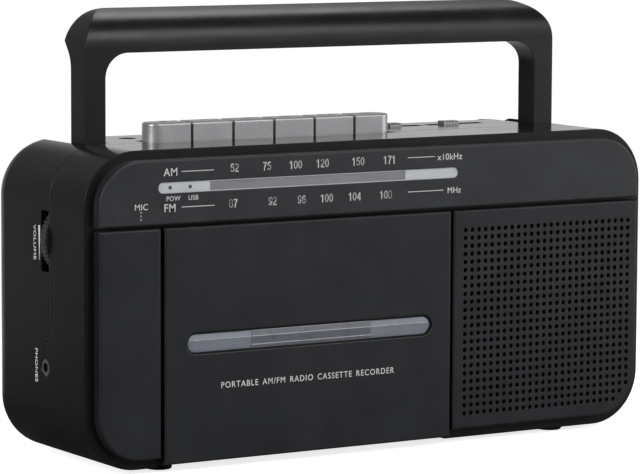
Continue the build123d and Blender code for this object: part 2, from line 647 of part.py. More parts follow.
with BuildPart() as phones_jack:
    rod_along_x((-width / 2 + 0.2, -width / 2 + 12.0), jack_y, jack_z, jack_ring_radius - 0.1)
    block((-width / 2 + wall + 0.3, -width / 2 + 14.0), (jack_y - 4.0, jack_y + 4.0), (jack_z - 4.5, jack_z + 4.5))
    rod_along_x((-width / 2 - 1, -width / 2 + 13.0), jack_y, jack_z, 1.8, Mode.SUBTRACT)
save(phones_jack.part, "phones_jack")

with BuildPart() as aux_jack:
    rod_along_z(aux_x, switch_y, (106.0, top_z - 0.3), 3.2)
    block((aux_x - 3.8, aux_x + 3.8), (switch_y - 3.8, switch_y + 3.8), (104.5, 117.4))
    rod_along_z(aux_x, switch_y, (105.6, top_z + 1), 1.8, Mode.SUBTRACT)
save(aux_jack.part, "aux_jack")

with BuildPart() as mains_inlet:
    block((inlet_x[0] + 0.2, inlet_x[1] - 0.2), (26.0, rear_y - 0.4), (inlet_z[0] + 0.2, inlet_z[1] - 0.2))
    socket_x = (inlet_x[0] + 1.6, inlet_x[1] - 1.6)
    block(socket_x, (30.0, rear_y + 1), (inlet_z[0] + 1.6, inlet_z[1] - 1.6), Mode.SUBTRACT)
    for pin_x in (inlet_x[0] + 4.5, inlet_x[1] - 4.5):
        rod_along_y(pin_x, (28.0, 37.0), (inlet_z[0] + inlet_z[1]) / 2, 1.2)
save(mains_inlet.part, "mains_inlet")

# ------------------------------------------------------------------ power and electronics
with BuildPart() as battery_case:
    block((battery_x[0] - 1.8, battery_x[1] + 1.8), battery_y, (battery_z[0] - 1.8, battery_z[1] + 1.8))
    block(battery_x, (battery_y[0] + 1.8, rear_y), battery_z, Mode.SUBTRACT)
save(battery_case.part, "battery_case")

# Flat contacts at the ends of the two rows of cells.
contact_rows = (battery_z[0] + 14.0, battery_z[1] - 14.0)
with BuildPart() as battery_contacts:
    for row_z in contact_rows:
        block((battery_x[0], battery_x[0] + 0.6), (18.0, 32.0), (row_z - 7.0, row_z + 7.0))
        block((battery_x[1] - 0.6, battery_x[1]), (18.0, 32.0), (row_z - 7.0, row_z + 7.0))
        with Locations(Location((battery_x[1] - 3.1, 25.0, row_z), (0, 90, 0))):
            Cone(2.5, 5.0, 5.0)
save(battery_contacts.part, "battery_contacts")

with BuildPart() as battery_cover:
    cover_x = (battery_x[0] + 0.3, battery_x[1] - 0.3)
    cover_z = (battery_z[0] + 0.3, battery_z[1] - 0.3)
    block(cover_x, (rear_y - wall, rear_y), cover_z)
    fillet(battery_cover.faces().sort_by(Axis.Y)[-1].edges(), 0.5)
    # thumb catch and three grip ribs, sunk into the face
    for rib in range(3):
        rib_z = battery_z[1] - 6.0 - 3.0 * rib
        block((-18.0, 2.0), (rear_y - 0.8, rear_y + 1), (rib_z - 0.6, rib_z + 0.6), Mode.SUBTRACT)
save(battery_cover.part, "battery_cover")

# Circuit board on two feet over the battery case, with two uprights that carry the ferrite rod.
with BuildPart() as main_board:
    block((-90.0, 94.0), (-8.0, 30.0), (75.0, 76.6))
    for post_x in (-50.0, 36.0):
        rod_along_z(post_x, 20.0, (battery_z[1] + 1.9, 75.5), 2.5)
    for upright_x in (-42.0, 42.0):
        block((upright_x - 1.5, upright_x + 1.5), (21.5, 29.5), (76.0, 93.0))
save(main_board.part, "main_board")

with BuildPart() as power_transformer:
    block((-100.0, -68.0), (10.0, 32.0), (16.0, 42.0))
    block((-93.0, -75.0), (8.0, 34.0), (20.0, 38.0))
    block((-106.0, -64.0), (14.0, 28.0), (14.6, 16.0))
save(power_transformer.part, "power_transformer")

with BuildPart() as ferrite_rod:
    rod_along_x((-50.0, 50.0), 25.5, 97.5, 4.5)
save(ferrite_rod.part, "ferrite_rod")

with BuildPart() as ferrite_coil:
    rod_along_x((-38.0, -6.0), 25.5, 97.5, 5.6)
    rod_along_x((-39.0, -5.0), 25.5, 97.5, 4.5, Mode.SUBTRACT)
save(ferrite_coil.part, "ferrite_coil")

# ------------------------------------------------------------------ feet and screws
with BuildPart() as rubber_feet:
    for x in (-89.0, 89.0):
        for y in (-26.0, 26.0):
            rod_along_z(x, y, (0, foot_height), 5.0)
    fillet(rubber_feet.faces().filter_by(Axis.Z).group_by(Axis.Z)[0].edges(), 0.6)
save(rubber_feet.part, "rubber_feet")

with BuildPart() as cabinet_screws:
    for place_x, place_z in screw_places:
        rod_along_y(place_x, (-21.0, 28.5), place_z, screw_bore)
        rod_along_y(place_x, (28.0, 30.2), place_z, 2.6)
        with Locations((place_x, 30.2, place_z)):
            Box(3.4, 1.6, 0.8, mode=Mode.SUBTRACT)
            Box(0.8, 1.6, 3.4, mode=Mode.SUBTRACT)
save(cabinet_screws.part, "cabinet_screws")

# ------------------------------------------------------------------ carry handle
# Side view of the handle: straight legs with round feet; the grip leans back to a crest and a rear edge.
leg_foot_z = handle_pivot_z - (leg_rear_y - leg_front_y) / 2
grip_rear = (15.9, 157.8)
crest_rear = (15.0, 167.2)
crest_top = (12.0, bar_top_z)
with BuildPart() as handle_profile:
    with BuildSketch(Plane.YZ.offset(-handle_outer_x)):
        with BuildLine():
            front_line = Line((leg_front_y, 156.0), (leg_front_y, handle_pivot_z))
            ThreePointArc(front_line @ 1, (handle_pivot_y, leg_foot_z), (leg_rear_y, handle_pivot_z))
            rear_line = Line((leg_rear_y, handle_pivot_z), (leg_rear_y, 147.0))
            Spline(rear_line @ 1, grip_rear, tangents=((0, 1), (0.75, 0.66)))
            Line(grip_rear, crest_rear)
            Spline(crest_rear, crest_top, tangents=((-0.1, 1), (-1, -0.15)))
            Spline(crest_top, front_line @ 0, tangents=((-1, -0.35), (0, -1)))
        make_face()
    extrude(amount=2 * handle_outer_x)

# Front view of the handle: a U with rounded corners, trimmed to the side view.
with BuildPart() as carry_handle:
    with BuildSketch(facing(rear_y)) as u_outer:
        with Locations((0, (leg_foot_z + bar_top_z) / 2)):
            Rectangle(2 * handle_outer_x, bar_top_z - leg_foot_z)
        fillet(u_outer.vertices().group_by(Axis.Y)[-1], handle_outer_radius)
    extrude(amount=depth)
    with BuildSketch(facing(rear_y)) as u_inner:
        with Locations((0, (leg_foot_z - 10 + bar_bottom_z) / 2)):
            Rectangle(2 * handle_inner_x, bar_bottom_z - leg_foot_z + 10)
        fillet(u_inner.vertices().group_by(Axis.Y)[-1], handle_inner_radius)
    extrude(amount=depth, mode=Mode.SUBTRACT)
    add(handle_profile.part, mode=Mode.INTERSECT)
    for side in (-1, 1):
        pin_x = sorted((side * (channel_inner_x - 1.6), side * (channel_outer_x + 1.6)))
        rod_along_x(pin_x, handle_pivot_y, handle_pivot_z, 2.95)
save(carry_handle.part, "carry_handle")

# ------------------------------------------------------------------ antenna
# The fork and the three sections are drawn about the pivot and then leaned back together.
# Swivel fork: turns in the end of the groove, and its cheeks carry the tilting tube.
with BuildPart() as antenna_swivel:
    rod_along_x((2.6, 4.8), 0, 0, 3.0)
    rod_along_x((4.8, 5.9), 0, 0, 1.45)
    for cheek_y in ((-3.0, -1.7), (1.7, 3.0)):
        block((0, 3.0), cheek_y, (-2.6, 2.6))
        rod_along_y(0, cheek_y, 0, 2.6)
    rod_along_y(0, (-2.0, 2.0), 0, 1.0)
save(antenna_swivel.part.moved(antenna_lean), "antenna_swivel")

with BuildPart() as antenna_base_tube:
    rod_along_x((-122.0, -3.6), 0, 0, 3.0)
    tongue_y = (-1.4, 1.4)
    block((-4.0, 0), tongue_y, (-2.2, 2.2))
    rod_along_y(0, tongue_y, 0, 2.2)
    rod_along_y(0, (-3, 3), 0, 1.1, Mode.SUBTRACT)
    rod_along_x((-123.0, -8.0), 0, 0, 2.45, Mode.SUBTRACT)
save(antenna_base_tube.part.moved(antenna_lean), "antenna_base_tube")

with BuildPart() as antenna_middle_tube:
    rod_along_x((-126.0, -10.0), 0, 0, 2.4)
    rod_along_x((-127.0, -14.0), 0, 0, 1.85, Mode.SUBTRACT)
save(antenna_middle_tube.part.moved(antenna_lean), "antenna_middle_tube")

with BuildPart() as antenna_tip:
    rod_along_x((-130.0, -16.0), 0, 0, 1.8)
    rod_along_x((-134.0, -130.0), 0, 0, tip_radius)
    fillet(antenna_tip.faces().sort_by(Axis.X)[0].edges(), 1.0)
save(antenna_tip.part.moved(antenna_lean), "antenna_tip")
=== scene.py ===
import json
import math

import bmesh
import bpy
from mathutils import Matrix, Vector


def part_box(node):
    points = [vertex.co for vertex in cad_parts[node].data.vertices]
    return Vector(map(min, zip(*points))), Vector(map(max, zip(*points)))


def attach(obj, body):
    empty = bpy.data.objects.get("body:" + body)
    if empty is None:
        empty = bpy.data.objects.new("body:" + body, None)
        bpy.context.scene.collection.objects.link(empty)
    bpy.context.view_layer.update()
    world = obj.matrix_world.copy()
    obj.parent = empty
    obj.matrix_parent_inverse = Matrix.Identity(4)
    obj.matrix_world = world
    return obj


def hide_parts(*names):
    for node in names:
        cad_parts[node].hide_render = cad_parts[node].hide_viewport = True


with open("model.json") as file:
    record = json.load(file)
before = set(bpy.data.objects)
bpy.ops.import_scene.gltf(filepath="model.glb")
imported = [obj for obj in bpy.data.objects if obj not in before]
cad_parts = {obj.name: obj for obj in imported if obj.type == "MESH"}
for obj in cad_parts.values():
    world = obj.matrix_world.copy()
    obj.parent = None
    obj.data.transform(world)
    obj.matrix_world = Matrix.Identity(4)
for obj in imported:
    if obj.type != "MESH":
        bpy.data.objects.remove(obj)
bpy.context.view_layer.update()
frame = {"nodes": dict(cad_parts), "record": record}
NODES = frame["nodes"]
MM = 0.001

FRONT_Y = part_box("dial_panel")[0].y
LEFT_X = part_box("front_cabinet")[0].x
KEYS = ("record_key", "play_key", "rewind_key", "fast_forward_key", "stop_eject_key", "pause_key")


# ---------------------------------------------------------------- node helpers
class Shader:
    """A Principled material with short calls for its nodes."""

    def __init__(self, name):
        self.material = bpy.data.materials.new(name)
        self.material.use_nodes = True
        self.tree = self.material.node_tree
        self.tree.nodes.clear()
        out = self.node("ShaderNodeOutputMaterial")
        self.bsdf = self.node("ShaderNodeBsdfPrincipled")
        self.link(self.bsdf.outputs["BSDF"], out.inputs["Surface"])
        self.coords = self.node("ShaderNodeTexCoord")

    def node(self, kind, **settings):
        made = self.tree.nodes.new(kind)
        for key, value in settings.items():
            setattr(made, key, value)
        return made

    def link(self, source, target):
        self.tree.links.new(source, target)

    def put(self, socket, value):
        """Links a node's output to a socket, or sets the socket to a number or colour."""
        if isinstance(value, bpy.types.NodeSocket):
            self.link(value, socket)
        else:
            socket.default_value = value

    def set(self, **values):
        """Sets Principled sockets: underscores stand for spaces."""
        for key, value in values.items():
            self.put(self.bsdf.inputs[key.replace("_", " ")], value)

    def where(self):
        return self.coords.outputs["Object"]

    def stretched(self, x, y, z):
        """Object position with each axis scaled, for streaks and brushed lines."""
        mapping = self.node("ShaderNodeMapping")
        self.link(self.where(), mapping.inputs["Vector"])
        mapping.inputs["Scale"].default_value = (x, y, z)
        return mapping.outputs["Vector"]

    def noise(self, size, detail=3.0, roughness=0.5, vector=None):
        """Noise with features of about that size in metres."""
        made = self.node("ShaderNodeTexNoise")
        self.link(vector or self.where(), made.inputs["Vector"])
        made.inputs["Scale"].default_value = 1.0 / size
        made.inputs["Detail"].default_value = detail
        made.inputs["Roughness"].default_value = roughness
        return made.outputs["Fac"]

    def cells(self, size, vector=None):
        made = self.node("ShaderNodeTexVoronoi")
        self.link(vector or self.where(), made.inputs["Vector"])
        made.inputs["Scale"].default_value = 1.0 / size
        return made.outputs["Distance"]

    def ramp(self, value, low, high, out_low=0.0, out_high=1.0):
        """Maps a value from one range to another, eased at both ends."""
        made = self.node("ShaderNodeMapRange", interpolation_type="SMOOTHSTEP")
        self.put(made.inputs["Value"], value)
        made.inputs["From Min"].default_value = low
        made.inputs["From Max"].default_value = high
        made.inputs["To Min"].default_value = out_low
        made.inputs["To Max"].default_value = out_high
        return made.outputs["Result"]

    def math(self, operation, a, b=0.0):
        made = self.node("ShaderNodeMath", operation=operation)
        self.put(made.inputs[0], a)
        self.put(made.inputs[1], b)
        return made.outputs[0]

    def mix(self, factor, a, b):
        """Mixes two colours."""
        made = self.node("ShaderNodeMix", data_type="RGBA")
        self.put(made.inputs["Factor"], factor)
        self.put(made.inputs["A"], a if isinstance(a, bpy.types.NodeSocket) else (*a, 1.0))
        self.put(made.inputs["B"], b if isinstance(b, bpy.types.NodeSocket) else (*b, 1.0))
        return made.outputs["Result"]

    def split(self, vector):
        made = self.node("ShaderNodeSeparateXYZ")
        self.link(vector, made.inputs["Vector"])
        return made.outputs

    def bump(self, *layers, base=None):
        """Stacks bump layers of (height, depth in metres) on a base normal and plugs them in."""
        previous = base
        for height, depth in layers:
            made = self.node("ShaderNodeBump")
            made.inputs["Strength"].default_value = 1.0
            made.inputs["Distance"].default_value = depth
            self.link(height, made.inputs["Height"])
            if previous:
                self.link(previous, made.inputs["Normal"])
            previous = made.outputs["Normal"]
        self.link(previous, self.bsdf.inputs["Normal"])


def tint(colour, factor):
    return tuple(min(1.0, channel * factor) for channel in colour)


def plastic(name, colour, rough=0.42, grain=0.3 * MM, depth=0.008 * MM, specular=0.35, glossy_top=None,
            edge_wear_and_highlight=1.5, edge_radius=0.5 * MM):
    """Moulded plastic: spark-textured skin, faint flow marks, handling smudges, and edges lightened partly as
    rubbed wear and partly as painted highlight.
    """
    s = Shader(name)
    mottled = s.noise(14 * MM, 4.0, 0.6)
    flow = s.noise(30 * MM, 3.0, 0.55, s.stretched(1.0, 1.0, 3.0))
    body = s.mix(s.ramp(mottled, 0.35, 0.7), tint(colour, 0.86), tint(colour, 1.14))
    bevel = s.node("ShaderNodeBevel", samples=4)
    bevel.inputs["Radius"].default_value = edge_radius
    geometry = s.node("ShaderNodeNewGeometry")
    dot = s.node("ShaderNodeVectorMath", operation="DOT_PRODUCT")
    s.link(bevel.outputs["Normal"], dot.inputs[0])
    s.link(geometry.outputs["Normal"], dot.inputs[1])
    edge = s.ramp(dot.outputs["Value"], 0.995, 0.90)
    # Edges are lightened under a noisy mask: partly rubbed wear, partly a painted highlight along the rounded
    # edges.
    rubbed_and_highlit_edges = s.math("MULTIPLY", edge, s.ramp(s.noise(3.5 * MM, 4.0, 0.7), 0.42, 0.66))
    s.set(Base_Color=s.mix(rubbed_and_highlit_edges, body, tint(colour, edge_wear_and_highlight)))
    smudge = s.ramp(s.noise(22 * MM, 5.0, 0.62), 0.42, 0.72)
    level = s.math("ADD", s.math("MULTIPLY", smudge, 0.07), rough - 0.03)
    level = s.math("ADD", level, s.math("MULTIPLY", s.ramp(flow, 0.3, 0.7), -0.03))
    level = s.math("SUBTRACT", level, s.math("MULTIPLY", rubbed_and_highlit_edges, 0.08))
    fine = s.noise(grain, 2.0, 0.6)
    if glossy_top is not None:
        up = s.ramp(s.split(s.coords.outputs["Normal"])["Z"], 0.80, 0.97)
        shine = s.math("ADD", s.math("MULTIPLY", smudge, 0.03), glossy_top)
        lowered = s.math("MULTIPLY", s.math("SUBTRACT", shine, level), up)
        level = s.math("ADD", level, lowered)
        fine = s.math("MULTIPLY", fine, s.math("SUBTRACT", 1.0, s.math("MULTIPLY", up, 0.92)))
    s.set(Roughness=level, Specular_IOR_Level=specular)
    s.bump((fine, depth), (s.noise(9 * MM, 2.0), 0.02 * MM), base=bevel.outputs["Normal"])
    return s.material


def metal(name, colour, rough=0.3, brush=(1.0, 1.0, 1.0), brush_size=1.2 * MM, depth=0.004 * MM,
          tarnish=0.75):
    """Plated or turned metal with fine lines along its stretched axis and dull patches."""
    s = Shader(name)
    lines = s.noise(brush_size, 3.0, 0.6, s.stretched(*brush))
    patches = s.ramp(s.noise(9 * MM, 4.0, 0.6), 0.45, 0.75)
    clean = s.mix(s.ramp(lines, 0.3, 0.7), tint(colour, 0.92), colour)
    s.set(Base_Color=s.mix(s.math("MULTIPLY", patches, 0.5), clean, tint(colour, tarnish)), Metallic=1.0)
    level = s.math("ADD", s.math("MULTIPLY", patches, 0.14), s.math("MULTIPLY", lines, 0.08))
    s.set(Roughness=s.math("ADD", level, rough - 0.06))
    s.bump((lines, depth))
    return s.material


def rubber(name, colour):
    s = Shader(name)
    dust = s.ramp(s.noise(5 * MM, 5.0, 0.65), 0.48, 0.75)
    s.set(Base_Color=s.mix(s.math("MULTIPLY", dust, 0.5), colour, tint(colour, 2.2)))
    s.set(Roughness=s.math("ADD", s.math("MULTIPLY", dust, 0.1), 0.68), Specular_IOR_Level=0.3)
    s.bump((s.noise(0.35 * MM, 3.0), 0.02 * MM))
    return s.material


def silver_paint(name, colour):
    """Metallic paint on plastic: flakes of slightly different brightness under a satin skin."""
    s = Shader(name)
    flake = s.ramp(s.noise(0.22 * MM, 2.0, 0.7), 0.35, 0.65)
    cloud = s.ramp(s.noise(7 * MM, 4.0), 0.4, 0.7)
    shade = s.mix(flake, tint(colour, 0.84), tint(colour, 1.12))
    s.set(Base_Color=s.mix(s.math("MULTIPLY", cloud, 0.2), shade, tint(colour, 0.8)), Metallic=0.55)
    s.set(Roughness=s.math("ADD", s.math("MULTIPLY", cloud, 0.08), 0.36), Specular_IOR_Level=0.4)
    s.bump((flake, 0.003 * MM), (s.noise(4 * MM, 2.0), 0.01 * MM))
    return s.material


def ink(name, colour):
    """Screen-printed ink, a little thin and patchy."""
    s = Shader(name)
    thin = s.ramp(s.noise(0.5 * MM, 3.0, 0.6), 0.35, 0.7)
    s.set(Base_Color=s.mix(thin, tint(colour, 0.86), colour))
    s.set(Roughness=s.math("ADD", s.math("MULTIPLY", thin, 0.12), 0.45), Specular_IOR_Level=0.3)
    s.bump((s.noise(0.3 * MM, 2.0), 0.004 * MM))
    return s.material


def frosted(name, colour, cover, rough):
    """Milky moulded plastic that hides what is behind it by the share given as cover."""
    s = Shader(name)
    haze = s.ramp(s.noise(6 * MM, 4.0), 0.35, 0.7)
    streak = s.ramp(s.noise(1.6 * MM, 3.0, 0.5, s.stretched(0.12, 1.0, 1.0)), 0.3, 0.7)
    body = s.mix(haze, tint(colour, 0.93), colour)
    s.set(Base_Color=s.mix(s.math("MULTIPLY", streak, 0.35), body, tint(colour, 1.12)))
    s.set(Roughness=s.math("ADD", s.math("MULTIPLY", haze, 0.06), rough))
    s.set(Alpha=cover, Specular_IOR_Level=0.5)
    s.bump((s.noise(0.6 * MM, 2.0), 0.004 * MM))
    return s.material


def board(name):
    """Brown phenolic circuit board with pale traces and pads."""
    s = Shader(name)
    traces = s.ramp(s.cells(5.5 * MM, s.stretched(1.0, 2.0, 1.0)), 0.30, 0.34)
    fibre = s.noise(0.8 * MM, 3.0, 0.6, s.stretched(1.0, 6.0, 1.0))
    sheet = s.mix(s.ramp(fibre, 0.3, 0.7), (0.20, 0.095, 0.03), (0.30, 0.15, 0.05))
    s.set(Base_Color=s.mix(s.math("MULTIPLY", traces, 0.5), sheet, (0.42, 0.30, 0.12)))
    s.set(Roughness=s.math("ADD", s.math("MULTIPLY", fibre, 0.2), 0.4))
    s.bump((traces, 0.03 * MM), (fibre, 0.01 * MM))
    return s.material


def winding(name):
    """Enamelled copper wire, wound side by side round the rod."""
    s = Shader(name)
    wave = s.node("ShaderNodeTexWave", wave_type="BANDS", bands_direction="X")
    s.link(s.where(), wave.inputs["Vector"])
    wave.inputs["Scale"].default_value = 1.0 / (1.2 * MM) / 2.0
    turns = wave.outputs["Fac"]
    s.set(Base_Color=s.mix(turns, (0.20, 0.07, 0.02), (0.55, 0.24, 0.09)), Metallic=0.8)
    s.set(Roughness=s.math("ADD", s.math("MULTIPLY", s.noise(2 * MM), 0.15), 0.28))
    s.bump((turns, 0.08 * MM))
    return s.material


# ---------------------------------------------------------------- materials
CHARCOAL = (0.0120, 0.0132, 0.0160)
M = {
    "cabinet": plastic("cabinet", (0.0046, 0.0047, 0.0053), 0.36, 0.25 * MM, 0.004 * MM, 0.32, 0.14, 2.2,
                       0.6 * MM),
    "handle": plastic("handle", (0.0092, 0.0096, 0.0104), 0.36, 0.25 * MM, 0.006 * MM, 0.35, None, 2.2,
                      0.6 * MM),
    "panel": plastic("panel", CHARCOAL, 0.46, 0.28 * MM, 0.008 * MM, 0.32),
    "dial_panel": plastic("dial_panel", (0.0205, 0.0220, 0.0255), 0.46, 0.28 * MM, 0.008 * MM, 0.35, None,
                          1.3),
    "inner_plastic": plastic("inner_plastic", (0.010, 0.010, 0.011), 0.5, 0.4 * MM, 0.012 * MM),
    "key_silver": silver_paint("key_silver", (0.45, 0.45, 0.465)),
    "steel": metal("steel", (0.56, 0.56, 0.57), 0.34, (1.0, 8.0, 8.0)),
    "bright_metal": metal("bright_metal", (0.80, 0.80, 0.81), 0.13, (1.0, 6.0, 6.0), 2 * MM, 0.001 * MM, 0.9),
    "brass": metal("brass", (0.72, 0.50, 0.22), 0.28, (1.0, 12.0, 1.0)),
    "mic_metal": metal("mic_metal", (0.6, 0.6, 0.61), 0.3),
    "laminations": metal("laminations", (0.16, 0.16, 0.17), 0.45, (1.0, 1.0, 40.0), 0.5 * MM, 0.03 * MM),
    "rubber": rubber("rubber", (0.012, 0.012, 0.012)),
    "cone_paper": rubber("cone_paper", (0.016, 0.015, 0.014)),
    "speaker_frame": plastic("speaker_frame", (0.02, 0.02, 0.021), 0.4, 0.5 * MM, 0.01 * MM),
    "ferrite": plastic("ferrite", (0.028, 0.028, 0.03), 0.5, 0.4 * MM, 0.02 * MM),
    "spindle_plastic": plastic("spindle_plastic", (0.55, 0.55, 0.52), 0.45, 0.4 * MM, 0.006 * MM, 0.4),
    "capacitor_case": plastic("capacitor_case", (0.62, 0.59, 0.5), 0.35, 0.6 * MM, 0.004 * MM, 0.4),
    "component": plastic("component", (0.13, 0.075, 0.04), 0.5, 0.5 * MM, 0.01 * MM),
    "pointer": plastic("pointer", (0.95, 0.16, 0.10), 0.35, 0.5 * MM, 0.003 * MM, 0.4, None, 1.1),
    "led_lens": plastic("led_lens", (0.05, 0.045, 0.05), 0.18, 0.6 * MM, 0.001 * MM, 0.5),
    "board": board("board"),
    "copper": winding("copper"),
    "ink": ink("ink", (0.62, 0.63, 0.64)),
    "dim_ink": ink("dim_ink", (0.30, 0.31, 0.32)),
    "dark_ink": ink("dark_ink", (0.03, 0.03, 0.032)),
    "card": ink("card", (0.36, 0.36, 0.38)),
    "led_dark": plastic("led_dark", (0.085, 0.08, 0.085), 0.3, 0.5 * MM, 0.002 * MM, 0.4),
    # a pale grey standing for a painted highlight on the door window's lower edge
    "edge_highlight": ink("edge_highlight", (0.075, 0.078, 0.084)),
    # near-black standing for painted shade in the gap round the door window
    "gap_painted_shade": rubber("gap_painted_shade", (0.0015, 0.0015, 0.0015)),
    "wheel": plastic("wheel", (0.040, 0.040, 0.039), 0.42, 0.4 * MM, 0.008 * MM, 0.45, None, 2.0),
    # a lighter copy of the print ink, painted lighter for the dimly lit left side
    "side_ink_painted_lighter": ink("side_ink_painted_lighter", (0.86, 0.86, 0.86)),
    "white_plate": frosted("white_plate", (0.52, 0.535, 0.56), 1.0, 0.35),
    "dial_clear": frosted("dial_clear", (0.32, 0.32, 0.35), 0.62, 0.30),
    "dial_line": frosted("dial_line", (0.52, 0.52, 0.55), 1.0, 0.30),
    "window_ends": frosted("window_ends", (0.185, 0.205, 0.245), 0.97, 0.34),
    "window_middle": frosted("window_middle", (0.125, 0.13, 0.15), 0.96, 0.26),
    # a pale milky grey for the painted highlights on the door window
    "window_painted_highlight": frosted("window_painted_highlight", (0.36, 0.38, 0.42), 1.0, 0.25),
}

SPECIAL = {"dial_panel": "dial_panel", "carry_handle": "handle", "dial_backplate": "card",
           "volume_wheel": "wheel", "tuning_wheel": "wheel"}
for part in frame["record"]["subparts"]:
    node = NODES[part["node"]]
    key = SPECIAL.get(part["node"], part["material_slot"])
    if key == "window_clear":
        key = "window_middle"
    node.data.materials.clear()
    node.data.materials.append(M[key])


# ---------------------------------------------------------------- mesh helpers
def add_mesh(name, bm, material, body, smooth_angle=None):
    """Makes an object from a bmesh, with its material and body."""
    bmesh.ops.recalc_face_normals(bm, faces=bm.faces)
    mesh = bpy.data.meshes.new(name)
    bm.to_mesh(mesh)
    bm.free()
    mesh.materials.append(material)
    obj = bpy.data.objects.new(name, mesh)
    bpy.context.scene.collection.objects.link(obj)
    if smooth_angle:
        for polygon in mesh.polygons:
            polygon.use_smooth = True
        mesh.set_sharp_from_angle(angle=math.radians(smooth_angle))
    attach(obj, body)
    return obj


# Directions for printing on each face: along a line of text, and up it.
FACES = {
    "front": (Vector((1, 0, 0)), Vector((0, 0, 1))),
    "left": (Vector((0, -1, 0)), Vector((0, 0, 1))),
    "left_up": (Vector((0, 0, -1)), Vector((0, -1, 0))),
    "top": (Vector((1, 0, 0)), Vector((0, 1, 0))),
}


def face_matrix(face, place):
    """Places a drawing with that face's directions, its origin at place."""
    right, up = FACES[face]
    out = right.cross(up)
    matrix = Matrix((right, up, out)).transposed().to_4x4()
    matrix.translation = place
    return matrix


CAP_HEIGHT = 0.72  # of the typeface's size
PRINT_THICKNESS = 0.03 * MM
INK_SPREAD = 0.005  # of the typeface's size


def lettering(name, text, height, place, face, material, body, width=None, spacing=1.06):
    """Printed text of that cap height, centred at place, standing a hair proud of its face."""
    curve = bpy.data.curves.new(name, "FONT")
    curve.body = text
    curve.align_x = "CENTER"
    curve.align_y = "CENTER"
    curve.size = height / CAP_HEIGHT
    curve.extrude = PRINT_THICKNESS
    curve.offset = INK_SPREAD * curve.size
    curve.space_character = spacing
    curve.space_word = 1.5
    curve.resolution_u = 4
    holder = bpy.data.objects.new(name + "_curve", curve)
    bpy.context.scene.collection.objects.link(holder)
    bpy.context.view_layer.update()
    mesh = bpy.data.meshes.new_from_object(holder)
    bpy.data.objects.remove(holder)
    xs = [vertex.co.x for vertex in mesh.vertices]
    ys = [vertex.co.y for vertex in mesh.vertices]
    stretch = 1.0 if width is None else width / (max(xs) - min(xs))
    rise = height / (max(ys) - min(ys)) if text.upper() == text else 1.0
    middle_x = (max(xs) + min(xs)) / 2
    middle_y = (max(ys) + min(ys)) / 2
    move = face_matrix(face, place)
    for vertex in mesh.vertices:
        flat = Vector(((vertex.co.x - middle_x) * stretch, (vertex.co.y - middle_y) * rise, vertex.co.z))
        vertex.co = move @ flat
    bm = bmesh.new()
    bm.from_mesh(mesh)
    bmesh.ops.remove_doubles(bm, verts=bm.verts, dist=1e-7)
    bpy.data.meshes.remove(mesh)
    return add_mesh(name, bm, material, body)


def ring_arc(x, z, rx, rz, start=0, end=360, steps=20):
    """Points round an ellipse between two angles in degrees."""
    turns = [math.radians(start + (end - start) * i / steps) for i in range(steps + 1)]
    return [(x + rx * math.cos(t), z + rz * math.sin(t)) for t in turns]


# Strokes of each numeral in a box 0.56 wide and 1.0 high.
NUMERAL_WIDTH = 0.56
NUMERAL_PITCH = 0.62
STROKE_HALF = 0.068
STROKE_OVERLAP = 0.02
SIX = [
    ring_arc(0.28, 0.315, 0.200, 0.25),
    [(0.08, 0.32), (0.085, 0.56), (0.13, 0.77), (0.21, 0.90), (0.30, 0.935), (0.40, 0.89), (0.455, 0.78)],
]
NUMERALS = {
    "0": [ring_arc(0.28, 0.5, 0.205, 0.435)],
    "1": [[(0.07, 0.745), (0.19, 0.79), (0.28, 0.94), (0.31, 0.94), (0.31, 0.0)]],
    "2": [ring_arc(0.275, 0.70, 0.19, 0.235, 170, -25, 12) + [(0.36, 0.47), (0.20, 0.31), (0.085, 0.15),
                                                             (0.075, 0.065), (0.50, 0.065)]],
    "4": [[(0.40, 0.0), (0.40, 0.93), (0.37, 0.93), (0.05, 0.28), (0.53, 0.28)]],
    "5": [[(0.46, 0.935), (0.15, 0.935), (0.10, 0.50)] + ring_arc(0.27, 0.335, 0.205, 0.27, 130, -155, 14)],
    "6": SIX,
    "7": [[(0.06, 0.935), (0.50, 0.935), (0.50, 0.89), (0.35, 0.63), (0.26, 0.34), (0.22, 0.0)]],
    "8": [ring_arc(0.28, 0.73, 0.170, 0.205), ring_arc(0.28, 0.29, 0.205, 0.225)],
    "9": [[(NUMERAL_WIDTH - x, 1.0 - z) for x, z in stroke] for stroke in SIX],
}


def numerals(name, text, height, place):
    """A dial number on the front, in even strokes, centred at place."""
    bm = bmesh.new()
    move = face_matrix("front", place)
    for index, character in enumerate(text):
        offset = (index - (len(text) - 1) / 2) * NUMERAL_PITCH - NUMERAL_WIDTH / 2
        for stroke in NUMERALS[character]:
            for (x0, z0), (x1, z1) in zip(stroke, stroke[1:]):
                run = math.hypot(x1 - x0, z1 - z0)
                dx, dz = (x1 - x0) / run, (z1 - z0) / run
                x0, z0 = x0 - dx * STROKE_OVERLAP, z0 - dz * STROKE_OVERLAP
                x1, z1 = x1 + dx * STROKE_OVERLAP, z1 + dz * STROKE_OVERLAP
                wide_x, wide_z = dz * STROKE_HALF, dx * STROKE_HALF
                corners = [(x0 - wide_x, z0 + wide_z), (x0 + wide_x, z0 - wide_z),
                           (x1 + wide_x, z1 - wide_z), (x1 - wide_x, z1 + wide_z)]
                outline = [((x + offset) * height, (z - 0.5) * height) for x, z in corners]
                prism(bm, outline, move)
    return add_mesh(name, bm, M["ink"], "case")


def prism(bm, outline, move, thick=0.06 * MM):
    """A thin plate with that outline in the face's plane, centred through its thickness."""
    low = [bm.verts.new(move @ Vector((x, y, -thick / 2))) for x, y in outline]
    high = [bm.verts.new(move @ Vector((x, y, thick / 2))) for x, y in outline]
    bm.faces.new(list(reversed(low)))
    bm.faces.new(high)
    for index in range(len(outline)):
        after = (index + 1) % len(outline)
        bm.faces.new((low[index], low[after], high[after], high[index]))


